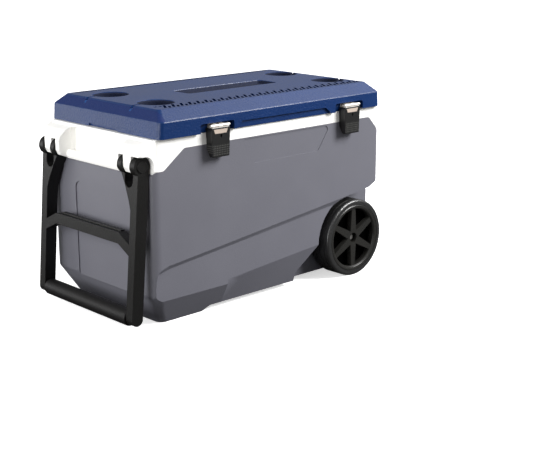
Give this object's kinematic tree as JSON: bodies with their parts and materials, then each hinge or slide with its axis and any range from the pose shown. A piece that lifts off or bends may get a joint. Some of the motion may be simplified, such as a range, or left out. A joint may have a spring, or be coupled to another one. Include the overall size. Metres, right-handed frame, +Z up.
{
  "type": "wheeled cooler",
  "caption": "Hard ice chest on wheels with a hinged insulated lid, snap latches, cup holders, drain and a swinging tow handle.",
  "frame": {"origin": "middle of the whole chest's footprint on the floor", "axes": "+X along the chest from the tow handle to the wheels, -Y is the front with the latches, +Z up"},
  "size_m": [0.868, 0.47, 0.526],
  "materials": {
    "shell": "fine textured satin",
    "liner": "smooth satin",
    "lid": "fine leather grain",
    "foam": "closed-cell foam",
    "handle": "satin",
    "grip": "soft matt",
    "tyre": "matt",
    "hub": "satin",
    "latch": "satin",
    "steel": "brushed",
    "seal": "matt",
    "drain": "smooth"
  },
  "bodies": {
    "chest": {"outer_shell": "shell", "body_foam": "foam", "collar": "liner", "liner": "liner", "front_axle_cap": "steel", "front_wheel_spacer": "liner", "rear_axle_cap": "steel", "rear_wheel_spacer": "liner", "axle": "steel", "left_hinge_body_leaf": "steel", "left_hinge_pin": "steel", "right_hinge_body_leaf": "steel", "right_hinge_pin": "steel", "hinge_body_screws": "steel", "drain_tube": "drain", "drain_gasket": "seal", "drain_nut": "drain"},
    "lid": {"lid_shell": "lid", "lid_foam": "foam", "lid_liner": "liner", "left_hinge_lid_leaf": "steel", "right_hinge_lid_leaf": "steel", "left_latch_lid_leaf": "steel", "left_latch_pin": "steel", "right_latch_lid_leaf": "steel", "right_latch_pin": "steel", "hinge_lid_screws": "steel", "latch_screws": "steel"},
    "front_wheel": {"front_tyre": "tyre", "front_wheel_hub": "hub"},
    "tow_handle": {"front_tow_pin": "handle", "rear_tow_pin": "handle", "tow_frame": "handle", "tow_grip": "grip"},
    "rear_wheel": {"rear_tyre": "tyre", "rear_wheel_hub": "hub"},
    "left_latch": {"left_latch_arm": "latch", "left_latch_front_leaf": "steel"},
    "right_latch": {"right_latch_arm": "latch", "right_latch_front_leaf": "steel"},
    "drain_seal": {"drain_seal": "seal"},
    "drain_cap": {"drain_cap": "drain"}
  },
  "joints": [
    {"name": "lid_hinge", "type": "hinge", "parent": "chest", "child": "lid", "pos_m": [0.02597, 0.2295, 0.461], "axis": [-1, 0, 0], "range_deg": [0, 100]},
    {"name": "left_latch_turn", "type": "hinge", "parent": "lid", "child": "left_latch", "pos_m": [-0.17753, -0.2305, 0.4775], "axis": [-1, 0, 0], "range_deg": [0, 95]},
    {"name": "right_latch_turn", "type": "hinge", "parent": "lid", "child": "right_latch", "pos_m": [0.28197, -0.2305, 0.4775], "axis": [-1, 0, 0], "range_deg": [0, 95]},
    {"name": "tow_handle_swing", "type": "hinge", "parent": "chest", "child": "tow_handle", "pos_m": [-0.38703, 0, 0.4015], "axis": [0, 1, 0], "range_deg": [0, 105]},
    {"name": "front_wheel_spin", "type": "hinge", "parent": "chest", "child": "front_wheel", "pos_m": [0.31197, -0.2112, 0.106], "axis": [0, 1, 0], "continuous": true},
    {"name": "rear_wheel_spin", "type": "hinge", "parent": "chest", "child": "rear_wheel", "pos_m": [0.31197, 0.2112, 0.106], "axis": [0, 1, 0], "continuous": true},
    {"name": "drain_seal_travel", "type": "slide", "parent": "chest", "child": "drain_seal", "axis": [1, 0, 0], "range_m": [0, 0.0096]},
    {"name": "drain_cap_turn", "type": "hinge", "parent": "drain_seal", "child": "drain_cap", "pos_m": [0.43397, 0, 0.075], "axis": [1, 0, 0], "range_deg": [0, 1080]}
  ],
  "couplings": [
    {"joint": "drain_seal_travel", "follows": "drain_cap_turn", "m_per_rad": 0.00047746}
  ]
}
